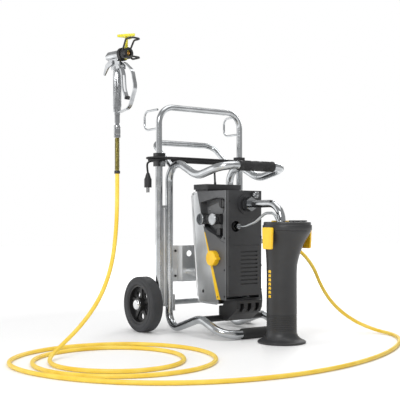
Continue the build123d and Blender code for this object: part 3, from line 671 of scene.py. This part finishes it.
def cleaning_tube_skin():
    """Tube on its flared foot, with grip ribs low down, a bell-shaped flare and a rolled collar."""
    rings = [(TUBE_AXIS_Y, z, r) for z, r in ((0, 76), (0.8, 79), (3, 80), (6, 79.6), (8, 77),
                                              (12, 68), (17, 60), (24, 53.6), (32, 50.6))]
    rings.append((TUBE_AXIS_Y, 36, TUBE_R))
    for rib in range(9):
        foot = 44 + 6 * rib
        rings += [(TUBE_AXIS_Y, foot, TUBE_R), (TUBE_AXIS_Y, foot + 0.6, TUBE_R - 1.2),
                  (TUBE_AXIS_Y, foot + 2.2, TUBE_R - 1.2), (TUBE_AXIS_Y, foot + 2.8, TUBE_R)]
    rings.append((TUBE_AXIS_Y, 235, TUBE_R))
    for step in range(1, 17):
        share = step / 16
        rings.append((TUBE_AXIS_Y + (CUP_AXIS_Y - TUBE_AXIS_Y) * flare(share), 250 + 115 * share,
                      TUBE_R + (CUP_R - 4 - TUBE_R) * flare(share)))
    rings += [(CUP_AXIS_Y, z, r) for z, r in ((368, 77), (370.4, 77), (371, 78.6), (372, 80),
                                              (374, CUP_R), (386, CUP_R), (388, 79.8), (389, 78.6),
                                              (389, 78), (383, 77.6), (379.6, 77.6))]
    skin = piece("cleaning_tube_skin", lofted(rings), CUP_PLASTIC)
    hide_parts("cleaning_tube")


def tube_mark():
    """Plain row of slanted yellow ticks up the left side of the tube."""
    mesh = bmesh.new()
    for tick in range(7):
        foot = 150 + 13.5 * tick
        corners = []
        for layer in (TUBE_R - 0.3, TUBE_R + 0.5):
            for degrees, rise in ((170, 0), (170, 9), (177, 10.5), (184, 9), (184, 0), (177, 1.5)):
                angle = math.radians(degrees)
                corners.append(mesh.verts.new(at(layer * math.cos(angle),
                                                 TUBE_AXIS_Y + layer * math.sin(angle), foot + rise)))
        inner, outer = corners[:6], corners[6:]
        mesh.faces.new(outer)
        mesh.faces.new(inner)
        join_loops(mesh, [inner, outer])
    piece("tube_mark", mesh, YELLOW, smooth=False)


def lid_band():
    """Yellow band on the rim of the lid, round its right and its back."""
    mesh = bmesh.new()
    loops = []
    for step in range(25):
        angle = math.radians(-14 + 108 * step / 24)
        section = ((66, 398.6), (66, 402.4), (67, 403.2), (72, 403.2), (73, 402.4), (73, 398.6))
        loops.append([mesh.verts.new(at(radius * math.cos(angle),
                                        CUP_AXIS_Y + radius * math.sin(angle), height))
                      for radius, height in section])
    join_loops(mesh, loops)
    mesh.faces.new(loops[0])
    mesh.faces.new(loops[-1])
    piece("lid_band", mesh, YELLOW)


def lid_pin():
    """Bright pin on the front left of the lid."""
    pin = turned([(0, 0), (3.4, 0), (3.4, 9), (5.6, 9), (5.6, 11), (4.4, 13.6), (0, 14)],
                 frame_along((0, 0, 1), at(-52, -548, 390)), steps=28)
    piece("lid_pin", pin, POLISHED)


# ---- pump unit ----
PUMP_HALF = 76
GAUGE_PLACES = (-164, -238)
GAUGE_HEIGHT = 408
DIAL_FACE = -93.5
BEZEL_FOOT = -92
RECESS_FACE = -50.4
LOUVRE_BACK = -298.8
HIGHLIGHT_STRIP_FRONT = -290.6
HIGHLIGHT_STRIP_BACK = -286.2
SCREW_PLACES = ((-283, 342), (-283, 231), (-283, 140), (-245, 136))
RECESS_SCREWS = ((-164, 440), (-232, 460))


def gauge_dial(y):
    """White dial with its ring of black divisions."""
    placement = frame_along((-1, 0, 0), at(DIAL_FACE, y, GAUGE_HEIGHT))
    plate = turned([(0, 0), (17.9, 0), (17.9, 0.12), (17.4, 0.2), (0, 0.2)], placement)
    piece(f"dial_{abs(y)}", plate, DIAL)
    ticks = bmesh.new()
    for tick in range(11):
        spin = Matrix.Rotation(math.radians(27 * tick + 45), 4, "Z")
        inner = 11.5 if tick % 5 == 0 else 13.5
        slab(ticks, (-0.5, inner, 0.1), (0.5, 16.3, 0.26), placement @ spin)
    piece(f"dial_ticks_{abs(y)}", ticks, BLACK_COAT, smooth=False)


def bezel(y):
    """Bright rolled bezel round a gauge."""
    placement = frame_along((-1, 0, 0), at(BEZEL_FOOT, y, GAUGE_HEIGHT))
    ring = turned([(20.05, 0), (20.7, 0.6), (20.9, 3), (20.4, 4.6), (19.4, 5.4), (18.3, 5.2),
                   (17.95, 4.4)], placement)
    piece(f"bezel_{abs(y)}", ring, POLISHED)


def louvre_shade_baffle():
    """Plate with a blade behind each louvre, which shuts off the view into the motor: a black sheet that
    paints the shade inside the housing.
    """
    mesh = bmesh.new()
    # Black plate and blades: painted shade behind the louvres.
    slab(mesh, (-26, LOUVRE_BACK, 170), (61, LOUVRE_BACK + 1, 306), Matrix.Translation(CART))
    for row in range(9):
        foot = 179 + 14 * row
        slab(mesh, (-22, -298.9, foot), (57, -298.9 - 1.6, foot + 1.4), Matrix.Translation(CART))
    piece("louvre_shade_baffle", mesh, NYLON, smooth=False, bevel=0.3 * MM)


def socket_screw(name, place, axis, radius, material):
    """Cap screw with a hexagon socket, whose head stands on a face."""
    placement = frame_along(axis, place)
    profile = [(0.45 * radius, 0.1), (0.45 * radius, 1.5), (0.62 * radius, 1.9),
               (0.86 * radius, 1.9), (radius, 1.4), (radius, -0.2)]
    mesh = turned([(0, 0.1)] + profile, placement, steps=24)
    piece(name, mesh, material)


def cover_screws():
    """Screws along the front edge and low down on the pump's side covers."""
    for side in (-1, 1):
        for number, (y, z) in enumerate(SCREW_PLACES):
            socket_screw(f"cover_screw_{number}_{'left' if side < 0 else 'right'}",
                         at(side * PUMP_HALF, y, z), (side, 0, 0), 3.4, BLACK_COAT)


def cover_highlight_strips_and_seam():
    """Paler strips along both front edges of the pump, painted highlight on the covers' rounded corners,
    and the bead under the recess.
    """
    mesh = bmesh.new()
    placement = Matrix.Translation(CART)
    # Paler grey strips on both front edges: painted highlight where the rounded corners catch the light.
    slab(mesh, (-PUMP_HALF - 0.6, HIGHLIGHT_STRIP_FRONT, 128), (-PUMP_HALF + 1.8, HIGHLIGHT_STRIP_BACK, 507), placement)
    slab(mesh, (PUMP_HALF - 1.8, HIGHLIGHT_STRIP_FRONT, 128), (PUMP_HALF + 0.6, HIGHLIGHT_STRIP_BACK, 507), placement)
    bead = piece("cover_edge_highlight", mesh, EDGE_HIGHLIGHT_GREY, smooth=False, bevel=0.8 * MM)
    route = [at(-PUMP_HALF, y, z) for y, z in ((-196, 364), (-232, 352), (-262, 332), (-286, 326))]
    piece("recess_seam", wire_mesh(route, 0.7), NYLON)


def recess_plate():
    """Pale panel at the back of the left recess, behind the gauges, with its two screws."""
    mesh = bmesh.new()
    outline = [(-160, 392), (-150, 450), (-226, 470), (-244, 466), (-244, 440), (-226, 372), (-196, 372)]
    loops = [[mesh.verts.new(at(layer, y, z)) for y, z in outline] for layer in (-49.2, RECESS_FACE)]
    for loop in loops:
        mesh.faces.new(loop)
    join_loops(mesh, loops)
    piece("recess_plate", mesh, RECESS_GREY, bevel=0.4 * MM)
    for number, (y, z) in enumerate(RECESS_SCREWS):
        socket_screw(f"recess_screw_{number}", at(RECESS_FACE, y, z), (-1, 0, 0), 3.2, POLISHED)


def bleed_fitting():
    """Bright knurled bleed fitting high on the front block."""
    placement = frame_along((0, -1, 0), at(38, -307.9, 493))
    profile = [(0, 0), (8, 0), (8, 3), (11, 3.4)]
    for ridge in range(5):
        profile += [(11, 4 + 1.6 * ridge), (10.3, 4.6 + 1.6 * ridge)]
    profile += [(11, 12), (9.6, 14), (5, 14), (5, 16.4), (0, 17)]
    piece("bleed_fitting", turned(profile, placement), POLISHED)


def chassis_bead():
    """Rolled bead round the back and the foot of the sheet-metal housing, on both sides."""
    for side, name in ((-1, "left"), (1, "right")):
        route = [at(side * 70.5, y, z) for y, z in
                 ((-96, 503), (-86, 500), (-82, 490), (-100, 300), (-117, 130), (-122, 116),
                  (-134, 110.5), (-180, 110), (-232, 110.5))]
        piece(f"chassis_bead_{name}", wire_mesh(route, 3.2, 10), SHEET)


# ---- grips and frame ----
BAR_MIDDLE = (0, -360, 590)
GRIP_HALF = 76


def hand_grip():
    """Moulded grip on the front bar: raised ends, rings of fine ribs and a slight swell between."""
    half = GRIP_HALF
    profile = [(14.2, -half), (17.4, -half), (18.6, -half + 1.2), (18.6, -half + 6),
               (17.6, -half + 8), (16.8, -half + 12)]
    for rib in range(9):
        start = -half + 16 + 4 * rib
        profile += [(16.8, start), (17.8, start + 0.8), (17.8, start + 2), (16.8, start + 2.8)]
    profile += [(16.9, -20), (17.9, 0)]
    profile += [(radius, -height) for radius, height in reversed(profile[:-1])]
    placement = frame_along((1, 0, 0), at(*BAR_MIDDLE))
    grip = piece("hand_grip", turned(profile, placement), RUBBER)
    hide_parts("front_grip")


def lead_boot():
    """Tapered strain relief where the mains lead leaves the pump."""
    start = Vector(LEAD_ROUTE[0])
    axis = Vector(LEAD_ROUTE[1]) - start
    profile = [(3.4, 0), (6.4, 0)]
    for ring in range(5):
        wide = 6.2 - 0.42 * ring
        foot = 2 + 5 * ring
        profile += [(wide, foot), (wide, foot + 3), (wide - 0.9, foot + 3.4), (wide - 0.9, foot + 4.8)]
    profile += [(3.7, 27.5)]
    boot = turned(profile, frame_along(axis, CART + start), steps=32)
    shape = piece("lead_boot", boot, RUBBER)
    return shape


# ---- spray gun ----
BARREL_HEIGHT = 905
TIP_FACE = -50
GRIP_RADIUS = 12
GRIP_STEPS = 96


def in_gun(x, y, z):
    """Point given in the gun's own millimetres, its barrel along -Y."""
    return GUN + Matrix.Rotation(GUN_YAW, 3, "Z") @ Vector((x, y, 0)) * MM + Vector((0, 0, z)) * MM


def grip_flutes():
    """Vertical cast flutes round the gun's handle."""
    mesh = bmesh.new()
    loops = []
    for height, swell in ((748, 0.1), (752, 0.75), (800, 0.85), (848, 0.75), (852, 0.1)):
        loop = []
        for step in range(GRIP_STEPS):
            angle = 2 * math.pi * step / GRIP_STEPS
            radius = GRIP_RADIUS + swell * (0.55 + 0.45 * math.cos(24 * angle))
            loop.append(mesh.verts.new(in_gun(radius * math.cos(angle), radius * math.sin(angle),
                                              height)))
        loops.append(loop)
    join_loops(mesh, loops)
    mesh.faces.new(loops[0])
    mesh.faces.new(loops[-1])
    piece("grip_flutes", mesh, GUN_METAL, "gun")


def trigger_cap():
    """Black pad over the trigger's lower end."""
    mesh = bmesh.new()
    turn = Matrix.Rotation(GUN_YAW, 4, "Z") @ Matrix.Rotation(math.radians(23), 4, "X")
    placement = Matrix.Translation(in_gun(0, -45.5, 769)) @ turn
    slab(mesh, (-8.6, -3.4, -2), (8.6, 3.4, 9), placement)
    cap = piece("trigger_cap", mesh, NYLON, "gun_trigger", bevel=1.6 * MM)


def swivel():
    """Grooved sleeve pressed over the swivel's hexagon."""
    profile = [(6.6, 655.2), (9, 655.2), (10, 656.5), (10, 664), (9.2, 665), (9.2, 667), (10, 668),
               (10, 682), (9.2, 683), (9.2, 685), (10, 686), (10, 691), (9, 692.5), (6.6, 692.5)]
    sleeve = piece("swivel_sleeve", turned(profile, Matrix.Translation(GUN)), POLISHED)
    return sleeve


def gun_nozzle():
    """Brass seat in the middle of the tip guard."""
    forward = in_gun(0, -1, 0) - in_gun(0, 0, 0)
    placement = frame_along(forward, in_gun(0, TIP_FACE, BARREL_HEIGHT))
    profile = [(0, 0), (5.4, 0), (5.4, 2.4), (4.6, 3.2), (3, 3.2), (2.4, 2.2), (0, 2)]
    piece("tip_seat", turned(profile, placement, 28), BRASS, "gun_guard")


add_camera()
paper_floor()
light_room()
bpy.context.scene.view_settings.view_transform = "Standard"
hose, hose_points = lay_hose()
lead, lead_points = wind_lead()
guard_parts = bend_guard()
dress_nodes()
cleaning_tube_skin()
tube_mark()
lid_band()
lid_pin()
for gauge_y in GAUGE_PLACES:
    gauge_dial(gauge_y)
    bezel(gauge_y)
louvre_shade_baffle()
cover_screws()
cover_highlight_strips_and_seam()
recess_plate()
bleed_fitting()
chassis_bead()
hand_grip()
boot = lead_boot()
gun_nozzle()
grip_flutes()
trigger_cap()
sleeve = swivel()
